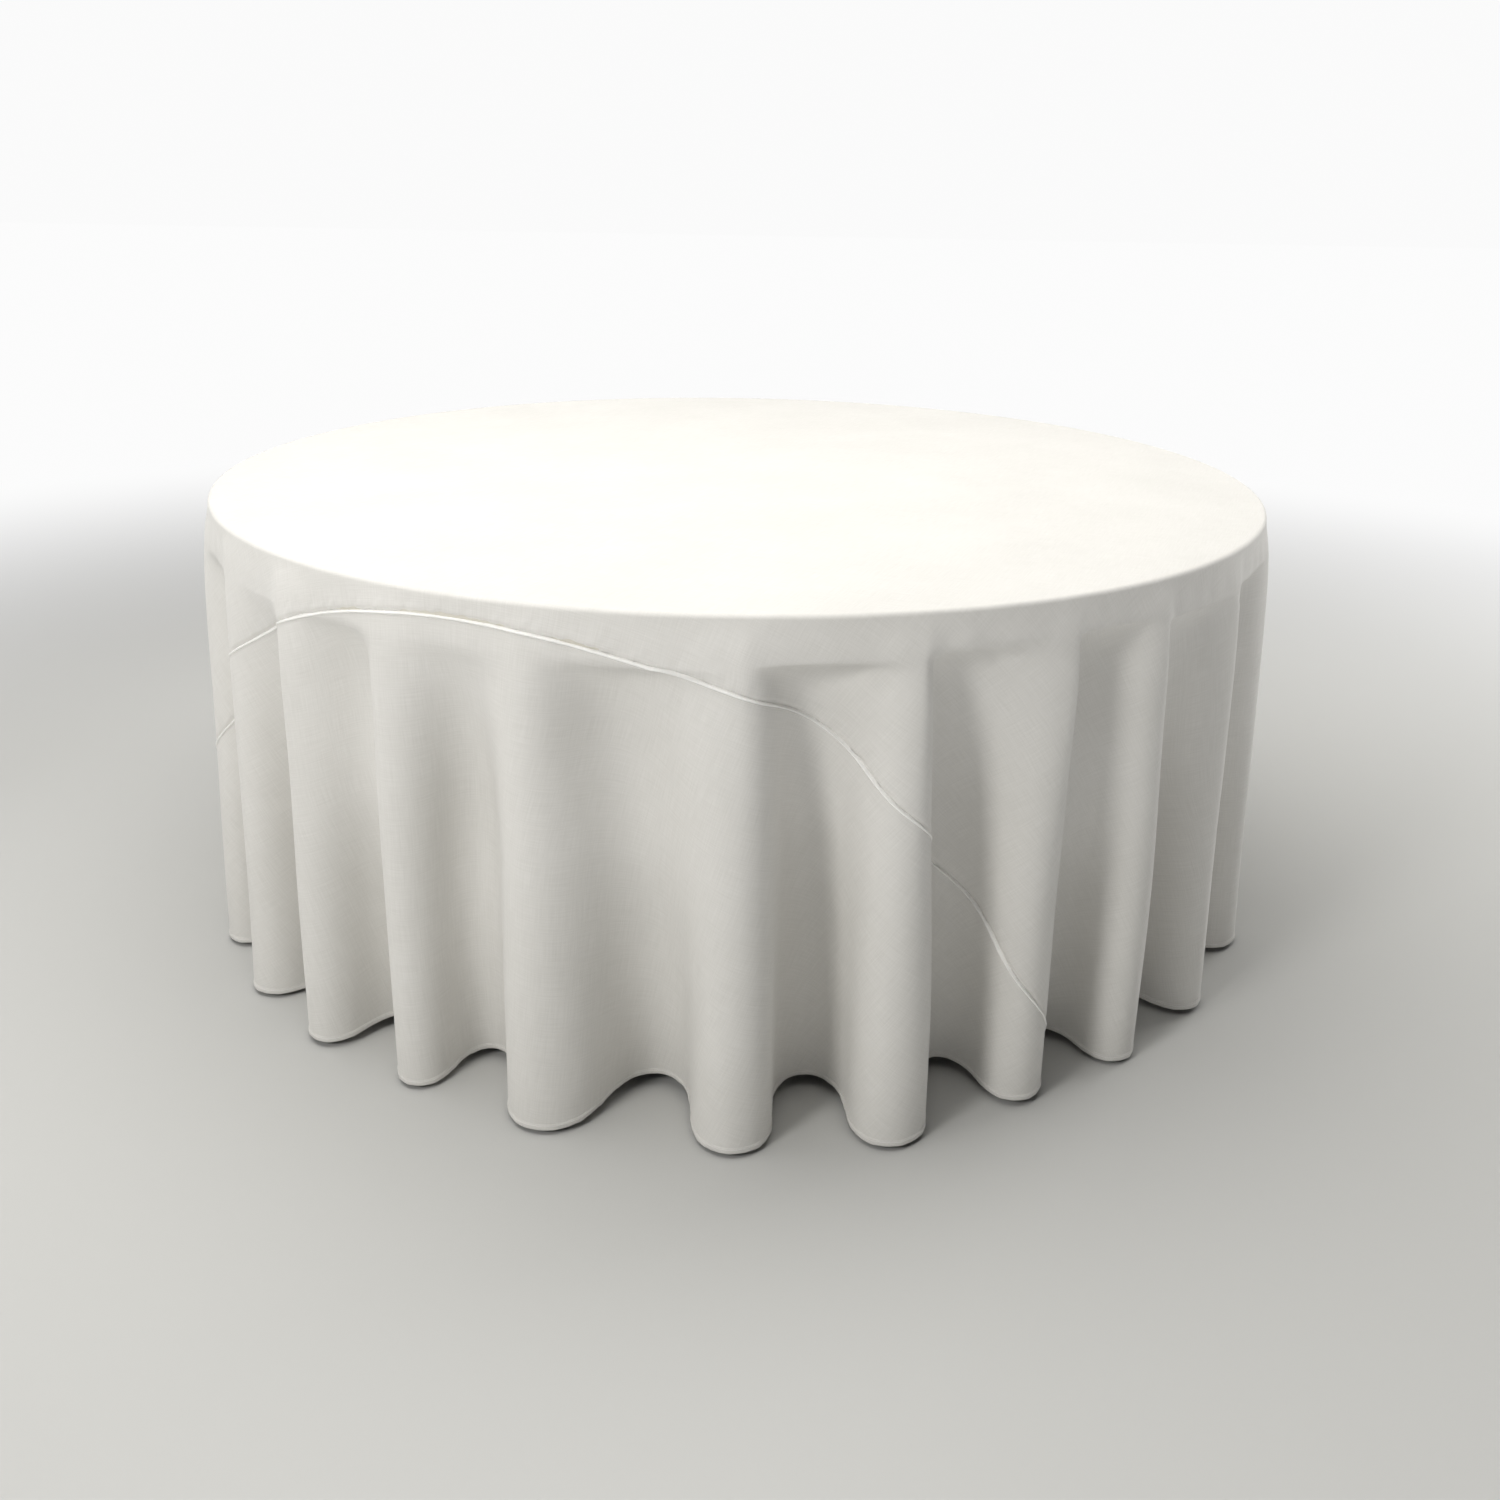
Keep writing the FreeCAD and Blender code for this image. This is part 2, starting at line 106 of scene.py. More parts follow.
# Folds at the front, left to right, then on round the back: azimuth of the tip at the hem and its radius
TIPS = np.radians([
    -83, -67.5, -55.5, -43.5, -31, -17, 0.3, 14.3, 28, 41, 54, 70, 84, 97, 111, 124, 139, 152, 165,
    180, 194, 207, 221, 234, 248, 262.5])
TIP_RADII = np.array([
    928, 935, 930, 922, 909, 924, 931, 939, 909, 916, 927, 939, 925, 936, 918, 930, 938, 920, 932,
    926, 937, 915, 929, 938, 921, 934]) / 1000
# Azimuth of the valley before each tip, at the hem and where it leaves the rim, then of each tip at the rim,
# where the folds lean over to one side, and the valley's radius at the hem
VALLEYS_LOW = np.radians([
    -90, -75, -61.5, -49.5, -37.5, -26, -7.4, 7.8, 22.6, 36, 48.5, 61.5, 77, 90.5, 104, 117.5, 131.5,
    145.5, 158.5, 172.5, 187, 200.5, 214, 227.5, 241, 255.5])
VALLEYS_HIGH = np.radians([
    -88.5, -73.5, -60.5, -48, -36, -24, -10.5, 6, 17.2, 31.6, 42.6, 57, 73, 87, 101.5, 114, 129,
    143, 155, 170, 184, 197, 211, 224, 238, 254])
TIPS_HIGH = np.radians([
    -85.5, -70.5, -57, -43.8, -31, -17.5, 0.5, 14.9, 29.2, 40.2, 54.6, 70.4, 84.5, 98.5, 111.5, 126, 140.5,
    152.5, 167, 181.5, 194.5, 208.5, 221.5, 235.5, 251.5, 264])

VALLEY_RADII = np.array([
    780, 772, 785, 778, 790, 780, 776, 768, 774, 782, 785, 770, 783, 776, 770, 788, 772, 779, 768,
    784, 775, 780, 770, 786, 774, 779]) / 1000


def half_folds(swings, shares):
    """Half a fold from above, from valley to tip: its direction swings out and back as the sine of the
    length along it. Per swing: the travel along and out at each share of the length, as shares of their
    totals, then total out over total along, and length over total along."""
    direction = swings[:, None] * np.sin(np.pi * shares)[None]
    step = np.diff(shares)[None]
    along = np.cumsum((np.cos(direction[:, 1:]) + np.cos(direction[:, :-1])) / 2 * step, axis=1)
    out = np.cumsum((np.sin(direction[:, 1:]) + np.sin(direction[:, :-1])) / 2 * step, axis=1)
    zero = np.zeros((len(swings), 1))
    along, out = np.hstack([zero, along]), np.hstack([zero, out])
    return along / along[:, -1:], out / out[:, -1:], out[:, -1] / along[:, -1], 1 / along[:, -1]


def ease(x):
    """0 below 0, 1 above 1, and a smooth rise between."""
    x = np.clip(x, 0, 1)
    return x * x * (3 - 2 * x)


def drape(columns):
    """The whole cloth as a grid: rows from the middle to the hem, columns round it. Each ring below the rim
    is brought near its flat length by deepening its folds, and each line down near its own by hanging less
    steeply where it also moves sideways. The hem's rise between the tips is then halved and smoothed, so
    lengths are kept to a few percent, not exactly."""
    swings = np.linspace(0.002, 2.2, 200)
    shares = np.linspace(0, 1, 49)
    along, out, slender, longer = half_folds(swings, shares)
    drop_total = CLOTH_RADIUS - SIDE_START
    drops = np.concatenate([np.linspace(0, 0.08, 33), np.linspace(0.08, drop_total, 90)[1:]])
    t = drops[:, None]
    after = lambda a: np.append(a[1:], a[0] + 2 * np.pi)
    swept = ease(t / VALLEY_SWEEP)
    valley = VALLEYS_HIGH + (VALLEYS_LOW - VALLEYS_HIGH) * swept
    following = after(VALLEYS_HIGH) + (after(VALLEYS_LOW) - after(VALLEYS_HIGH)) * swept

    def half_length(centre, centre_radius, base, base_radius):
        """Length of cloth from a valley to a tip."""
        wide = np.abs(centre - base) * (centre_radius + base_radius) / 2
        steep = np.clip((centre_radius - base_radius) / wide, 0, slender[-1])
        return wide * np.interp(steep, slender, longer)

    taken = half_length(TIPS, TIP_RADII, VALLEYS_LOW, VALLEY_RADII)
    taken = taken + half_length(TIPS, TIP_RADII, after(VALLEYS_LOW), np.roll(VALLEY_RADII, -1))
    low_knots = np.concatenate([[0], np.cumsum(taken)[:-1]]) * 2 * np.pi / taken.sum()
    low_knots = low_knots + (VALLEYS_LOW - low_knots).mean()
    knots = VALLEYS_HIGH + (low_knots - VALLEYS_HIGH) * ease(t / SHARE_SWEEP)
    knots = np.hstack([knots, knots[:, :1] + 2 * np.pi])
    tip = TIPS_HIGH + (TIPS - TIPS_HIGH) * ease(t / TIP_SWEEP)
    bulge = 0.011 + 0.003 * np.sin(2.3 * np.arange(len(TIPS)))
    tip_radius = RIM_RADIUS + bulge * (1 - np.exp(-((t / 0.055) ** 1.4)))
    tip_radius = tip_radius + (TIP_RADII - RIM_RADIUS - bulge) * t / drop_total
    gathered = 0.35 + 0.65 * ease(t / 0.09)
    smooth_left = ease((np.radians(8) - VALLEYS_HIGH) / np.radians(20))
    slack = 1 + (SPARE - LESS_SPARE * smooth_left) * ease(t / 0.05) * (1 - ease((t - 0.08) / 0.3))
    wanted = (RIM_RADIUS + t * gathered) * np.diff(knots, axis=1) * slack
    valley_radius = np.broadcast_to(RIM_RADIUS - 0.19 * t, valley.shape).copy()
    for _ in range(80):
        next_radius = np.roll(valley_radius, -1, axis=1)
        length = half_length(tip, tip_radius, valley, valley_radius)
        length = length + half_length(tip, tip_radius, following, next_radius)
        excess = length - wanted
        valley_radius += 0.3 * (excess + np.roll(excess, 1, axis=1)) / 2
        valley_radius = np.minimum(valley_radius, RIM_RADIUS)
    late = 0.02 * smooth_left + 0.006 * (1 + np.sin(1.9 * np.arange(len(TIPS)) + 0.7)) * (1 - smooth_left)
    off_the_rim = 1 - np.exp(-np.clip(t - RIM_DROP - late, 0, None) / (0.012 + 0.022 * smooth_left))
    valley_radius = RIM_RADIUS - (RIM_RADIUS - valley_radius) * off_the_rim
    next_radius = np.roll(valley_radius, -1, axis=1)
    azimuths, radii = [], []
    for start, centre, centre_radius, base_radius, flip in (
            (valley, tip, tip_radius, valley_radius, False),
            (following, tip, tip_radius, next_radius, True)):
        wide = np.abs(centre - start) * (centre_radius + base_radius) / 2
        place = np.interp((centre_radius - base_radius) / wide, slender, np.arange(len(swings)))
        index = np.clip(place.astype(int), 0, len(swings) - 2)
        part = (place - index)[..., None]
        gone = along[index] * (1 - part) + along[index + 1] * part
        risen = out[index] * (1 - part) + out[index + 1] * part
        azimuth = start[..., None] + (centre - start)[..., None] * gone
        risen = risen ** (2.2 - 1.2 * ease(t / 0.14))[..., None]
        radius = base_radius[..., None] + (centre_radius - base_radius)[..., None] * risen
        if flip:
            azimuth, radius = azimuth[..., ::-1], radius[..., ::-1]
        azimuths.append(azimuth[..., :-1])
        radii.append(radius[..., :-1])
    azimuth = np.concatenate(azimuths, axis=2).reshape(len(drops), -1)
    radius = np.concatenate(radii, axis=2).reshape(len(drops), -1)
    azimuth = np.hstack([azimuth, azimuth[:, :1] + 2 * np.pi])
    radius = np.hstack([radius, radius[:, :1]])
    x, y = radius * np.sin(azimuth), -radius * np.cos(azimuth)
    per_fold = 2 * (len(shares) - 1)
    material = VALLEYS_HIGH[0] + 2 * np.pi * np.arange(columns) / columns
    skirt = np.zeros((len(drops), columns, 3))
    for row in range(len(drops)):
        walked = np.concatenate([[0], np.cumsum(np.hypot(np.diff(x[row]), np.diff(y[row])))])
        at_knots, whole = walked[::per_fold][:-1], walked[-1]
        knots_round = np.concatenate([knots[row, :-1] - 2 * np.pi, knots[row, :-1], knots[row] + 2 * np.pi])
        walk_round = np.concatenate([at_knots - whole, at_knots, at_knots + whole, [2 * whole]])
        wanted_walk = np.mod(np.interp(material, knots_round, walk_round), whole)
        skirt[row, :, 0] = np.interp(wanted_walk, walked, x[row])
        skirt[row, :, 1] = np.interp(wanted_walk, walked, y[row])
    moved = np.diff(skirt[:, :, :2], axis=0)
    down = np.diff(drops)[:, None]
    fallen = np.sqrt(np.maximum(down ** 2 - (moved ** 2).sum(axis=2), (0.3 * down) ** 2))
    skirt[1:, :, 2] = -np.cumsum(fallen, axis=0)
    smooth = np.exp(-np.linspace(-2, 2, 21) ** 2)
    padded = np.hstack([skirt[:, -10:, 2], skirt[:, :, 2], skirt[:, :10, 2]])
    kernel = smooth / smooth.sum()
    skirt[:, :, 2] = sum(kernel[k] * padded[:, k:k + columns] for k in range(21))
    lowest = skirt[:, :, 2].min(axis=1, keepdims=True)
    skirt[:, :, 2] = lowest + 0.5 * (skirt[:, :, 2] - lowest) + TOP_HEIGHT - ROLL_RADIUS
    roll_start = RIM_RADIUS - ROLL_RADIUS
    flat = np.concatenate([np.linspace(0, 0.88, 12), np.linspace(0.89, roll_start, 4)])
    turn = np.linspace(0, math.pi / 2, 12)[1:-1]
    rolled_height = TOP_HEIGHT - ROLL_RADIUS * (1 - np.cos(turn))
    ring_radius = np.concatenate([flat, roll_start + ROLL_RADIUS * np.sin(turn)])
    ring_height = np.concatenate([np.full(len(flat), TOP_HEIGHT), rolled_height])
    top = np.zeros((len(ring_radius), columns, 3))
    top[:, :, 0] = ring_radius[:, None] * np.sin(material)
    top[:, :, 1] = -ring_radius[:, None] * np.cos(material)
    top[:, :, 2] = ring_height[:, None]
    reach = np.concatenate([flat, roll_start + ROLL_RADIUS * turn, SIDE_START + drops])
    return material, reach, np.concatenate([top, skirt])


def ripples(azimuth, reach, seed):
    """Small soft unevenness of pressed cloth: a few waves down and across, from -1 to 1 or so."""
    chance = np.random.default_rng(seed)
    total = np.zeros(np.broadcast(azimuth, reach).shape)
    for _ in range(14):
        around = chance.integers(9, 70)
        down = chance.uniform(-16, 16)
        total += np.sin(around * azimuth + down * reach + chance.uniform(0, 6.28)) * chance.uniform(0.2, 1)
    return total / 4


GRID_AZIMUTH, GRID_REACH, GRID = drape(2880)
below = np.clip((GRID_REACH - SIDE_START) / 0.2, 0, 1)[:, None]


def normals(grid):
    """Unit normals of the grid, outwards: across the columns, which run round and close, and the rows."""
    across = np.roll(grid, -1, axis=1) - np.roll(grid, 1, axis=1)
    down = np.gradient(grid, axis=0)
    normal = np.cross(down, across)
    normal[0] = (0, 0, 1)
    return normal / np.maximum(np.linalg.norm(normal, axis=2, keepdims=True), 1e-12)


# Down the rim the cloth stands off a little in small upright puckers, some 60 mm apart
upright = 1 + np.sin(95 * GRID_AZIMUTH + 1.6 * np.sin(23 * GRID_AZIMUTH))
at_rim = np.exp(-((GRID_REACH - SIDE_START - 0.038) / 0.018) ** 2)
risen = ripples(GRID_AZIMUTH[None], GRID_REACH[:, None], 4) * RIPPLE * below
GRID = GRID + normals(GRID) * (risen + RIM_PUCKER * upright[None] * at_rim[:, None])[..., None]
GRID_NORMAL = normals(GRID)

# One straight seam joins the panels: its least distance from the cloth's middle, the azimuth of that place,
# and half the angle that the seam spans
SEAM_REACH = 0.944
SEAM_AZIMUTH = math.radians(-23.6)
SEAM_HALF = math.acos(SEAM_REACH / CLOTH_RADIUS)


def seam_reach(azimuth):
    """Distance of the seam from the middle of the cloth: for a straight line, its least distance over the
    cosine of the turn from there. At the front it is moved up by as much as 17 mm in a bell curve, which
    makes up for the worked-out drape hanging too low there."""
    ridden_up = 0.017 * np.exp(-((azimuth - math.radians(2.5)) / math.radians(6.5)) ** 2)
    return SEAM_REACH / np.cos(azimuth - SEAM_AZIMUTH) - ridden_up


def on_cloth(azimuth, reach, lift=0.0, drawn_in=0.0034):
    """Where points of the flat cloth are on the draped one, raised by lift along its normal. The seam draws
    the cloth in: it falls away over some 6 mm above the seam and comes out again at once below. Small
    slanting puckers, some 20 mm apart, run up from it and die out."""
    turn = np.mod(azimuth - SEAM_AZIMUTH + np.pi, 2 * np.pi) - np.pi
    near = np.clip(turn, -SEAM_HALF, SEAM_HALF)
    beyond = (reach - seam_reach(SEAM_AZIMUTH + near)) * np.cos(near) + (np.abs(turn) > SEAM_HALF)
    lift = lift - drawn_in * np.exp(-(beyond / np.where(beyond < 0, 0.0036, 0.0015)) ** 2)
    slanting = np.sin(310 * turn + 240 * beyond) + np.sin(187 * turn + 150 * beyond + 2)
    lift = lift + SEAM_PUCKER * slanting * np.exp(-np.abs(beyond) / 0.011) * (beyond < 0)
    azimuth, reach, lift = np.broadcast_arrays(azimuth, reach, lift)
    columns = len(GRID_AZIMUTH)
    column = np.mod((azimuth - GRID_AZIMUTH[0]) / (2 * np.pi), 1) * columns
    row = np.interp(reach, GRID_REACH, np.arange(len(GRID_REACH)))
    left = np.floor(column).astype(int) % columns
    above = np.minimum(row.astype(int), len(GRID_REACH) - 2)
    across, down = (column - np.floor(column))[..., None], (row - above)[..., None]
    next_column = (left + 1) % columns
    point, normal = (
        (g[above, left] * (1 - across) + g[above, next_column] * across) * (1 - down)
        + (g[above + 1, left] * (1 - across) + g[above + 1, next_column] * across) * down
        for g in (GRID, GRID_NORMAL))
    return point + normal * lift[..., None]


def grid_object(name, points, flat, closed=False, ring=False):
    """A mesh from a grid of points (rows, columns, 3). closed joins the last column to the first; ring joins
    the last row to the first. flat holds each point's place on the flat cloth, in metres, and becomes the UV
    map. Points that meet are merged, so a pole is one point."""
    rows, columns = points.shape[:2]
    row, column = np.mgrid[:rows - (not ring), :columns - (not closed)]
    below_row, beside = (row + 1) % rows, (column + 1) % columns
    faces = np.stack([row * columns + column, below_row * columns + column,
                      below_row * columns + beside, row * columns + beside], axis=-1).reshape(-1, 4)
    mesh = bpy.data.meshes.new(name)
    mesh.from_pydata(points.reshape(-1, 3).tolist(), [], faces.tolist())
    uv = mesh.uv_layers.new(name="flat_cloth")
    uv.data.foreach_set("uv", flat.reshape(-1, 2)[faces.ravel()].astype(np.float32).ravel())
    work = bmesh.new()
    work.from_mesh(mesh)
    bmesh.ops.remove_doubles(work, verts=work.verts, dist=1e-6)
    if ring and not closed:
        bmesh.ops.holes_fill(work, edges=[e for e in work.edges if e.is_boundary], sides=0)
    work.to_mesh(mesh)
    work.free()
    mesh.shade_smooth()
    made = bpy.data.objects.new(name, mesh)
    bpy.context.collection.objects.link(made)
    return made


# ---- Cloth material --------------------------------------------------------------------------------
# White poplin: a tight plain weave of fine matte yarn, with a faint sheen. Thin enough to glow a little, but
# drawn opaque.
def linear(code):
    """An sRGB hex colour as linear RGBA."""
    parts = [int(code[i:i + 2], 16) / 255 for i in (1, 3, 5)]
    return [c / 12.92 if c <= 0.04045 else ((c + 0.055) / 1.055) ** 2.4 for c in parts] + [1]


def add(material, kind, links=(), **values):
    """One shader node: values set its sockets or properties by name; links joins (output, input name)."""
    node = material.node_tree.nodes.new(kind)
    for key, value in values.items():
        socket = next((s for s in node.inputs
                       if s.identifier == key or s.name.lower().replace(" ", "_") == key), None)
        if socket is not None:
            socket.default_value = value
        else:
            setattr(node, key, value)
    for output, key in links:
        material.node_tree.links.new(output, node.inputs[key])
    return node


def finish_material(material, shader, colour, roughness, normal):
    """Join a colour, a roughness and a relief to the Principled shader."""
    for output, key in ((colour, "Base Color"), (roughness, "Roughness"), (normal, "Normal")):
        material.node_tree.links.new(output, shader.inputs[key])


def new_material(name):
    """An empty node material with its Principled shader wired to the output."""
    material = bpy.data.materials.new(name)
    material.use_nodes = True
    material.node_tree.nodes.clear()
    shader = add(material, "ShaderNodeBsdfPrincipled")
    add(material, "ShaderNodeOutputMaterial", [(shader.outputs[0], "Surface")])
    return material, shader


def poplin(name, darker, lighter):
    """Woven polyester, between a darker and a lighter shade of white."""
    cloth, shader = new_material(name)
    shader.inputs["Sheen Weight"].default_value = 0.2
    shader.inputs["Sheen Roughness"].default_value = 0.4
    place = add(cloth, "ShaderNodeUVMap", uv_map="flat_cloth").outputs[0]
    # Yarns lie 0.25 mm apart on the real cloth. They are drawn 2.2 mm apart here, so that the weave shows.
    pitch = 2 * math.pi / 0.0022
    turns = add(cloth, "ShaderNodeVectorMath", [(place, 0)], operation="MULTIPLY",
                Vector_001=(pitch, pitch, 0))
    waves = add(cloth, "ShaderNodeVectorMath", [(turns.outputs[0], 0)], operation="SINE")
    split = add(cloth, "ShaderNodeSeparateXYZ", [(waves.outputs[0], 0)])
    over_under = add(cloth, "ShaderNodeMath", [(split.outputs[0], 0), (split.outputs[1], 1)],
                     operation="MULTIPLY")
    # Slubs are thicker stretches of yarn, some 50 mm long, along the warp and along the weft.
    slubs = []
    for stretch in ((20, 600, 1), (600, 20, 1)):
        drawn_out = add(cloth, "ShaderNodeVectorMath", [(place, 0)], operation="MULTIPLY",
                        Vector_001=stretch)
        slubs.append(add(cloth, "ShaderNodeTexNoise", [(drawn_out.outputs[0], "Vector")],
                         scale=1, detail=2))
    slub = add(cloth, "ShaderNodeMath", [(slubs[0].outputs[0], 0), (slubs[1].outputs[0], 1)],
               operation="ADD")
    relief = add(cloth, "ShaderNodeMath", [(over_under.outputs[0], 0), (slub.outputs[0], 2)],
                 operation="MULTIPLY_ADD", Value_001=0.22)
    # The cloth is pressed but not quite flat: soft unevenness some 20 mm across.
    pressed = add(cloth, "ShaderNodeTexNoise", [(place, "Vector")], scale=1 / 0.02, detail=3)
    uneven = add(cloth, "ShaderNodeBump", [(pressed.outputs[0], "Height")], strength=0.35, distance=0.0012)
    yarns = add(cloth, "ShaderNodeBump", [(relief.outputs[0], "Height"), (uneven.outputs[0], "Normal")],
                strength=0.4, distance=0.0004)
    washed = add(cloth, "ShaderNodeTexNoise", [(place, "Vector")], scale=1 / 0.22, detail=4)
    shade = add(cloth, "ShaderNodeMath", [(slub.outputs[0], 0), (washed.outputs[0], 1)], operation="ADD")
    tone = add(cloth, "ShaderNodeMapRange", [(shade.outputs[0], "Value")], from_min=1.0, from_max=2.0)
    colour = add(cloth, "ShaderNodeMix", [(tone.outputs[0], 0)], data_type="RGBA",
                 A_Color=linear(darker), B_Color=linear(lighter))
    dullness = add(cloth, "ShaderNodeMapRange", [(slub.outputs[0], "Value")], from_min=0.6, from_max=1.4,
                   to_min=0.92, to_max=0.76)
    finish_material(cloth, shader, colour.outputs[2], dullness.outputs[0], yarns.outputs[0])
    return cloth


cloth = poplin("poplin", "#d6d4cf", "#e3e1dd")

# ---- Main panel ------------------------------------------------------------------------------------
# The wide panel covers the whole top and most of the skirt. It ends at a straight seam on the flat cloth,
# which runs just below the rim at the front left and down to the hem on both sides.
def flat_place(azimuth, reach):
    """Metres along and across the seam on the flat cloth: the warp runs along the seam."""
    turn = azimuth - SEAM_AZIMUTH
    return np.stack(np.broadcast_arrays(reach * np.sin(turn), reach * np.cos(turn)), axis=-1)


off = np.linspace(-SEAM_HALF, SEAM_HALF, 561)
rest = np.linspace(SEAM_HALF, 2 * np.pi - SEAM_HALF, 721)[1:-1]
azimuth = SEAM_AZIMUTH + np.concatenate([off, rest])
end = np.full(len(azimuth), CLOTH_RADIUS)
end[:len(off)] = seam_reach(azimuth[:len(off)])
inner = np.concatenate([
    [0, 0.12, 0.3, 0.48, 0.64, 0.76, 0.85, 0.89, 0.903], np.linspace(0.9084, SIDE_START, 8), [0.923]])
spread = np.concatenate([np.linspace(0, 0.085, 15)[1:], np.linspace(0.085, 1, 36)[1:]])
last = np.array([0.0095, 0.0065, 0.0045, 0.003, 0.0013, 0])
reach = np.concatenate([np.broadcast_to(inner[:, None], (len(inner), len(azimuth))),
                        inner[-1] + spread[:, None] * (end - 0.013 - inner[-1])[None],
                        end[None] - last[:, None]])
panel = grid_object("cloth_main_panel", on_cloth(azimuth[None], reach), flat_place(azimuth[None], reach),
                    closed=True)
panel.data.materials.append(cloth)
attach(panel, "table")
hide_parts("main_panel")

# ---- Side panel ------------------------------------------------------------------------------------
# The smaller panel is the segment of the disc beyond the seam, at the front left.
azimuth = SEAM_AZIMUTH + off
start = seam_reach(azimuth)
first = np.array([0, 0.001, 0.0025, 0.0045, 0.007, 0.01])[:, None]
first = np.minimum(first, (CLOTH_RADIUS - start)[None] * 0.5)
spread = np.linspace(0, 1, 62)[1:, None]
reach = np.concatenate([start + first, start + first[-1] + spread * (CLOTH_RADIUS - start - first[-1])])
side = grid_object("cloth_side_panel", on_cloth(azimuth[None], reach), flat_place(azimuth[None], reach))
side.data.materials.append(cloth)
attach(side, "table")
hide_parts("side_panel")

# ---- Hems ------------------------------------------------------------------------------------------
# The edge is turned in twice and sewn: a narrow band about 9 mm wide that puckers a little between stitches.
HEM_PROFILE = np.array([
    (-9.2, 0.05), (-8.9, 0.5), (-6.3, 0.45), (-3.5, 0.85), (-1.0, 0.8), (-0.1, 0.3),
    (-0.1, -0.3), (-1.0, -0.7), (-5.0, -0.6), (-8.9, -0.35)]) / 1000


def pucker_at(azimuth):
    """How the hem pulls in and out along its length: two sines of different pitch, about -1 to 1."""
    return np.sin(azimuth * 520) * 0.5 + np.sin(azimuth * 233 + 1) * 0.8


for name, node, begin, finish_at, count in (
        ("hem_of_main_panel", "main_hem", SEAM_HALF, 2 * np.pi - SEAM_HALF, 1700),
        ("hem_of_side_panel", "side_hem", -SEAM_HALF, SEAM_HALF, 760)):
    azimuth = SEAM_AZIMUTH + np.linspace(begin, finish_at, count)[None]
    across, lift = HEM_PROFILE[:, :1], HEM_PROFILE[:, 1:]
    pucker = pucker_at(azimuth)
    edge = CLOTH_RADIUS + across + 0.0007 * pucker * (1 + across / 0.0092)
    band = grid_object(name, on_cloth(azimuth, edge, lift + 0.0004 * pucker), flat_place(azimuth, edge),
                       ring=True)
    band.data.materials.append(cloth)
    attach(band, "table")
    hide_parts(node)

# ---- Seam ------------------------------------------------------------------------------------------
# The panels are joined by a topstitched seam. Its spare edges lie underneath, so the side panel's edge
# stands up as a soft ridge 4 mm wide, with a groove above it. The ridge is four cloths thick. Its cloth is
# given a whiter shade than the rest so that it shows: a painted highlight for the bright line of light along
# the ridge.
seam_ridge_painted_highlight = poplin("poplin_seam_edge", "#efeeea", "#f8f7f5")
SEAM_PROFILE = np.array([
    (-0.3, -3.5), (0.0, -3.1), (0.4, -2.0), (0.9, -0.6), (1.4, 0.6), (2.0, 1.4), (2.9, 1.5), (3.6, 1.0),
    (4.1, 0.3), (4.2, -0.2), (2.0, -1.2)]) / 1000
off = np.linspace(-1, 1, 1600)
off = np.arctan(off * math.tan(SEAM_HALF - 0.0008))[None]
pull = 1 + 0.08 * np.sin(off * 900) + 0.12 * np.sin(off * 147 + 2)
azimuth = SEAM_AZIMUTH + off
reach = np.minimum(seam_reach(azimuth) + SEAM_PROFILE[:, :1] / np.cos(off), CLOTH_RADIUS)
seam = grid_object("seam_of_panels", on_cloth(azimuth, reach, SEAM_PROFILE[:, 1:] * pull, drawn_in=0),
                   flat_place(azimuth, reach), ring=True)
seam.data.materials.append(seam_ridge_painted_highlight)
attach(seam, "table")

# ---- Stitching -------------------------------------------------------------------------------------
# Lockstitch in white polyester thread, 3 mm to a stitch: once round each hem, near the band's inner edge,
# and along the seam, just below its ridge. Between stitches the thread dips into the cloth.
thread, shader = new_material("spun_polyester_thread")
shader.inputs["Sheen Weight"].default_value = 0.3
place = add(thread, "ShaderNodeUVMap", uv_map="flat_cloth").outputs[0]
plies = add(thread, "ShaderNodeTexWave", [(place, "Vector")], bands_direction="DIAGONAL", scale=1 / 0.0008)
twist = add(thread, "ShaderNodeBump", [(plies.outputs[0], "Height")], strength=0.5, distance=0.0001)
colour = add(thread, "ShaderNodeMix", [(plies.outputs[0], 0)], data_type="RGBA",
             A_Color=linear("#e2e0dc"), B_Color=linear("#f0eeeb"))
lustre = add(thread, "ShaderNodeMapRange", [(plies.outputs[0], "Value")], to_min=0.45, to_max=0.6)
finish_material(thread, shader, colour.outputs[2], lustre.outputs[0], twist.outputs[0])

STITCH = 0.003
THREAD_RADIUS = 0.00035
STEPS = 6
DIP = 0.00045


def stitches(name, azimuth, reach, height):
    """A thread along a line of the flat cloth. Its height over the cloth is that of the band below it, plus
    the size of the sine of the way along, one half wave to a stitch. Its section is a small square."""
    way = np.concatenate([[0], np.cumsum(np.hypot(*np.diff(flat_place(azimuth, reach), axis=0).T))])
    count = int(way[-1] / STITCH)
    along = np.linspace(0, way[-1], count * STEPS + 1)
    azimuth, reach, height = (np.interp(along, way, values) for values in (azimuth, reach, height))
    height = height + DIP * np.abs(np.sin(np.pi * along / along[-1] * count)) - 0.0002
    corner = np.radians([45, 135, 225, 315])[:, None]
    path_reach = reach + THREAD_RADIUS * np.cos(corner)
    path_azimuth = np.broadcast_to(azimuth, path_reach.shape)
    raised = height + THREAD_RADIUS * np.sin(corner)
    made = grid_object(name, on_cloth(path_azimuth, path_reach, raised, drawn_in=0),
                       flat_place(path_azimuth, path_reach), ring=True)
    made.data.materials.append(thread)
    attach(made, "table")
    return made


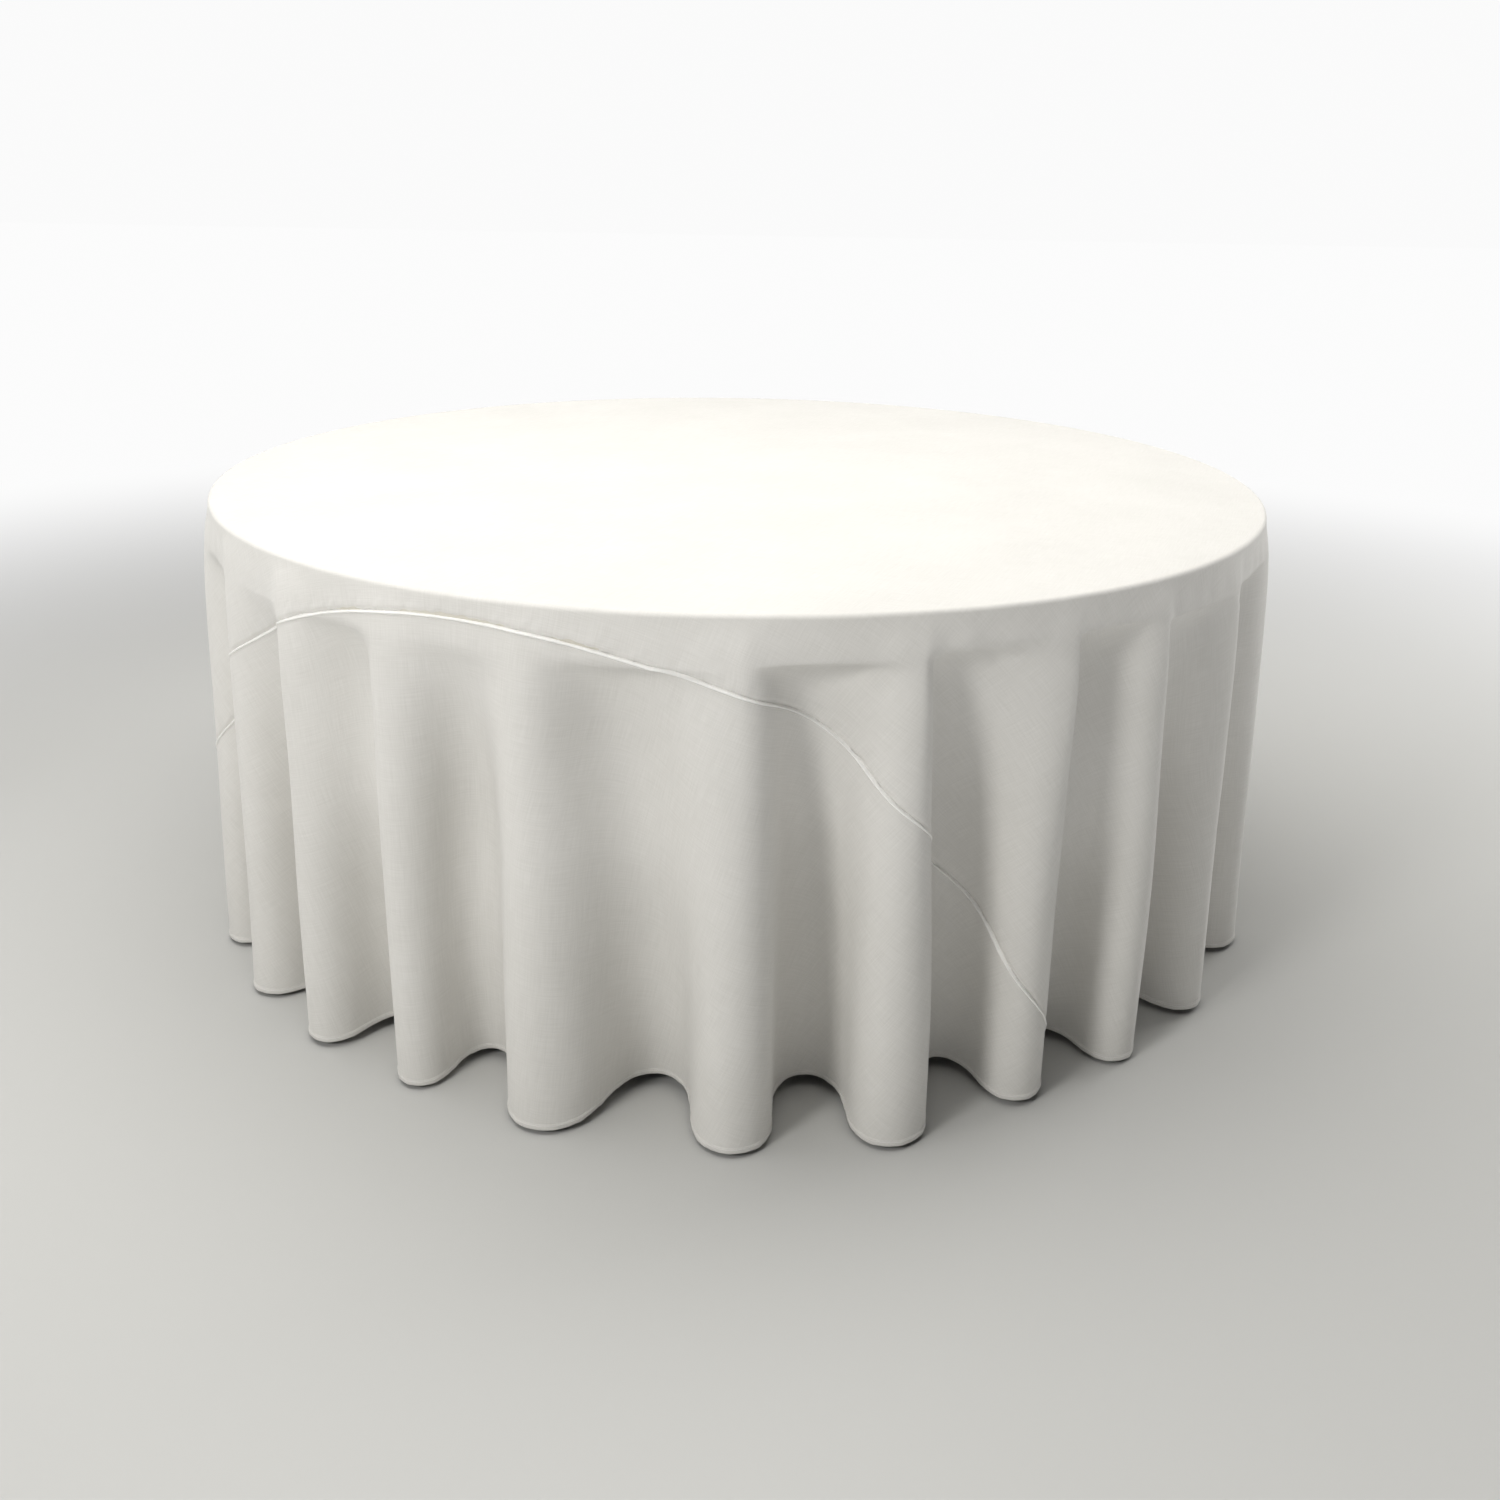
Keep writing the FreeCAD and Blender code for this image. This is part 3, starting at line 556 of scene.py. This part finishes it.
for name, begin, finish_at in (("stitches_of_main_hem", SEAM_HALF, 2 * np.pi - SEAM_HALF),
                               ("stitches_of_side_hem", -SEAM_HALF, SEAM_HALF)):
    azimuth = SEAM_AZIMUTH + np.linspace(begin + 0.004, finish_at - 0.004, 9000)
    stitches(name, azimuth, CLOTH_RADIUS - 0.0062 + 0.0007 * pucker_at(azimuth) * 0.3,
                            0.00045 + 0.0004 * pucker_at(azimuth))
off = np.arctan(np.linspace(-1, 1, 6000) * math.tan(SEAM_HALF - 0.006))
stitches("stitches_of_seam", SEAM_AZIMUTH + off,
                        seam_reach(SEAM_AZIMUTH + off) + 0.0055 / np.cos(off), np.full(6000, 0.00025))

# ---- Table top and clips ---------------------------------------------------------------------------
# Blow-moulded polyethylene, off-white. The mould gives it a fine pebbled grain, and the underside is tacked
# to the upper skin in rows of round pits.
moulded, shader = new_material("blow_moulded_polyethylene")
place = add(moulded, "ShaderNodeTexCoord").outputs["Object"]
grain = add(moulded, "ShaderNodeTexNoise", [(place, "Vector")], scale=1 / 0.0016, detail=2)
pebbles = add(moulded, "ShaderNodeBump", [(grain.outputs[0], "Height")], strength=0.5, distance=0.0003)
rows = add(moulded, "ShaderNodeTexVoronoi", [(place, "Vector")], voronoi_dimensions="2D", scale=1 / 0.045,
           randomness=0)
depth = add(moulded, "ShaderNodeMapRange", [(rows.outputs["Distance"], "Value")], from_min=0.06,
            from_max=0.3, to_min=1.0, to_max=0.0, interpolation_type="SMOOTHSTEP")
level = add(moulded, "ShaderNodeSeparateXYZ", [(place, 0)])
underneath = add(moulded, "ShaderNodeMapRange", [(level.outputs["Z"], "Value")], from_min=0.735,
                 from_max=0.75, to_min=1.0, to_max=0.0)
sideways = add(moulded, "ShaderNodeVectorMath", [(place, 0)], operation="MULTIPLY", Vector_001=(1, 1, 0))
across = add(moulded, "ShaderNodeVectorMath", [(sideways.outputs[0], 0)], operation="LENGTH")
inside_rim = add(moulded, "ShaderNodeMapRange", [(across.outputs["Value"], "Value")], from_min=0.86,
                 from_max=0.88, to_min=1.0, to_max=0.0)
covered = add(moulded, "ShaderNodeMath", [(underneath.outputs[0], 0), (inside_rim.outputs[0], 1)],
              operation="MULTIPLY")
dented = add(moulded, "ShaderNodeMath", [(depth.outputs[0], 0), (covered.outputs[0], 1)],
             operation="MULTIPLY")
pits = add(moulded, "ShaderNodeMath", [(dented.outputs[0], 1)], operation="SUBTRACT", Value=1.0)
tacked = add(moulded, "ShaderNodeBump", [(pits.outputs[0], "Height"), (pebbles.outputs[0], "Normal")],
             strength=0.8, distance=0.005)
# Colour: cloudy at random, and darker in the middles of the underside pits; that darkening is painted shade.
cloudy = add(moulded, "ShaderNodeTexNoise", [(place, "Vector")], scale=1 / 0.12, detail=5)
cloudy_tone_and_pit_shade = add(moulded, "ShaderNodeMath", [(cloudy.outputs[0], 0), (pits.outputs[0], 1)], operation="MULTIPLY")
colour = add(moulded, "ShaderNodeMix", [(cloudy_tone_and_pit_shade.outputs[0], 0)], data_type="RGBA",
             A_Color=linear("#c4bfb2"), B_Color=linear("#ddd9cf"))
matt = add(moulded, "ShaderNodeMapRange", [(grain.outputs[0], "Value")], from_min=0.3, from_max=0.7,
           to_min=0.42, to_max=0.6)
finish_material(moulded, shader, colour.outputs[2], matt.outputs[0], tacked.outputs[0])

# ---- Steel frames and braces -----------------------------------------------------------------------
# Round steel tube and flat bar under a dark grey powder coat, which sets with a slight orange peel and gets
# scuffed to a paler grey where the frames are handled.
coated, shader = new_material("powder_coated_steel")
shader.inputs["Coat Weight"].default_value = 0.15
shader.inputs["Coat Roughness"].default_value = 0.3
place = add(coated, "ShaderNodeTexCoord").outputs["Object"]
peel = add(coated, "ShaderNodeTexNoise", [(place, "Vector")], scale=1 / 0.0025, detail=1)
skin = add(coated, "ShaderNodeBump", [(peel.outputs[0], "Height")], strength=0.4, distance=0.0002)
handled = add(coated, "ShaderNodeTexNoise", [(place, "Vector")], scale=1 / 0.03, detail=8, roughness=0.75)
scuffs = add(coated, "ShaderNodeMapRange", [(handled.outputs[0], "Value")], from_min=0.58, from_max=0.72,
             to_max=0.7)
colour = add(coated, "ShaderNodeMix", [(scuffs.outputs[0], 0)], data_type="RGBA",
             A_Color=linear("#4b4f52"), B_Color=linear("#7d8184"))
gloss = add(coated, "ShaderNodeMapRange", [(handled.outputs[0], "Value")], from_min=0.3, from_max=0.7,
            to_min=0.36, to_max=0.58)
finish_material(coated, shader, colour.outputs[2], gloss.outputs[0], skin.outputs[0])

# ---- Screws, pins and rivets -----------------------------------------------------------------------
# Zinc-plated steel: bright, with small crystals of slightly different grey and fine marks from tumbling.
zinc, shader = new_material("zinc_plated_steel")
shader.inputs["Metallic"].default_value = 1.0
place = add(zinc, "ShaderNodeTexCoord").outputs["Object"]
crystals = add(zinc, "ShaderNodeTexVoronoi", [(place, "Vector")], scale=1 / 0.0012)
marks = add(zinc, "ShaderNodeTexNoise", [(place, "Vector")], scale=1 / 0.0006, detail=3)
tumbled = add(zinc, "ShaderNodeBump", [(marks.outputs[0], "Height")], strength=0.3, distance=0.0001)
colour = add(zinc, "ShaderNodeMix", [(crystals.outputs["Distance"], 0)], data_type="RGBA",
             A_Color=linear("#c9ccd0"), B_Color=linear("#a9adb3"))
bright = add(zinc, "ShaderNodeMapRange", [(marks.outputs[0], "Value")], to_min=0.26, to_max=0.46)
finish_material(zinc, shader, colour.outputs[2], bright.outputs[0], tumbled.outputs[0])

# ---- Foot caps and collars -------------------------------------------------------------------------
# Black moulded polyethylene, smooth when new. The caps are dusty and scratched over the last 10 mm or so.
rubbed, shader = new_material("black_polyethylene")
place = add(rubbed, "ShaderNodeTexCoord").outputs["Object"]
scratched = add(rubbed, "ShaderNodeTexNoise", [(place, "Vector")], scale=1 / 0.004, detail=6, roughness=0.7)
score = add(rubbed, "ShaderNodeBump", [(scratched.outputs[0], "Height")], strength=0.35, distance=0.0003)
level = add(rubbed, "ShaderNodeSeparateXYZ", [(place, 0)])
low_down = add(rubbed, "ShaderNodeMapRange", [(level.outputs["Z"], "Value")], from_min=0.002, from_max=0.016,
               to_min=1.0, to_max=0.12)
dust = add(rubbed, "ShaderNodeMath", [(low_down.outputs[0], 0), (scratched.outputs[0], 1)],
           operation="MULTIPLY")
colour = add(rubbed, "ShaderNodeMix", [(dust.outputs[0], 0)], data_type="RGBA",
             A_Color=linear("#1b1c1e"), B_Color=linear("#6f6c67"))
worn = add(rubbed, "ShaderNodeMapRange", [(dust.outputs[0], "Value")], to_min=0.42, to_max=0.85)
finish_material(rubbed, shader, colour.outputs[2], worn.outputs[0], score.outputs[0])

FINISHES = {"moulded_top": moulded, "coated_steel": coated, "zinc": zinc, "foot_plastic": rubbed}
for part in frame["record"]["subparts"]:
    if part["material_slot"] in FINISHES:
        node = frame["nodes"][part["node"]]
        node.data.materials.clear()
        node.data.materials.append(FINISHES[part["material_slot"]])

# ---- Stage -----------------------------------------------------------------------------------------
# A plain pale floor that fades to white some way off, and a pale band of wall round it. A wide soft lamp
# hangs overhead, a smaller one stands at the front left, and a weak one at the back right.
stage, shader = new_material("floor")
shader.inputs["Base Color"].default_value = linear("#c6c6c4")
shader.inputs["Roughness"].default_value = 0.9
shader.inputs["Specular IOR Level"].default_value = 0.2
shader.inputs["Emission Color"].default_value = (1, 1, 1, 1)
shader.inputs["Emission Strength"].default_value = 0.0
place = add(stage, "ShaderNodeTexCoord").outputs["Object"]
far = add(stage, "ShaderNodeVectorMath", [(place, 0)], operation="LENGTH")
fade = add(stage, "ShaderNodeMapRange", [(far.outputs["Value"], "Value")], from_min=1.4, from_max=4.5,
           interpolation_type="SMOOTHSTEP")
white = add(stage, "ShaderNodeEmission", strength=0.97)
mixed = add(stage, "ShaderNodeMixShader",
            [(fade.outputs[0], "Fac"), (shader.outputs[0], 1), (white.outputs[0], 2)])
stage.node_tree.links.new(mixed.outputs[0], stage.node_tree.nodes["Material Output"].inputs["Surface"])
floor_mesh = bpy.data.meshes.new("floor")
floor_mesh.from_pydata([(-30, -30, 0), (30, -30, 0), (30, 30, 0), (-30, 30, 0)], [], [(0, 1, 2, 3)])
floor = bpy.data.objects.new("floor", floor_mesh)
bpy.context.collection.objects.link(floor)
floor.data.materials.append(stage)
floor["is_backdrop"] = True

world = bpy.data.worlds.new("world")
bpy.context.scene.world = world
world.use_nodes = True
background = world.node_tree.nodes["Background"]
background.inputs["Color"].default_value = (1, 1, 1, 1)
height = add(world, "ShaderNodeSeparateXYZ", [(add(world, "ShaderNodeTexCoord").outputs["Generated"], 0)])
band = add(world, "ShaderNodeMapRange", [(height.outputs["Z"], "Value")], from_min=0.11, from_max=0.25,
           to_min=0.96, to_max=0.02, interpolation_type="SMOOTHSTEP")
world.node_tree.links.new(band.outputs[0], background.inputs["Strength"])
bpy.context.scene.view_settings.view_transform = "Standard"

for name, place_at, size, power, colour in (
        ("overhead", (-0.6, -0.1, 3.4), 4.2, 140, "#fffefb"), ("key", (-2.4, -3.5, 2.6), 1.0, 67, "#fffefb"),
        ("fill", (3.2, 1.5, 2.2), 2.0, 58, "#fffefb")):
    light = bpy.data.objects.new(name, bpy.data.lights.new(name, "AREA"))
    light.data.shape = "DISK"
    light.data.size = size
    light.data.energy = power
    light.data.color = linear(colour)[:3]
    bpy.context.collection.objects.link(light)
    light.rotation_euler = (Vector((0, 0, 0.5)) - Vector(place_at)).to_track_quat("-Z", "Y").to_euler()
    light.location = place_at

low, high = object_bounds()
SIZE["low"], SIZE["high"] = list(low), list(high)
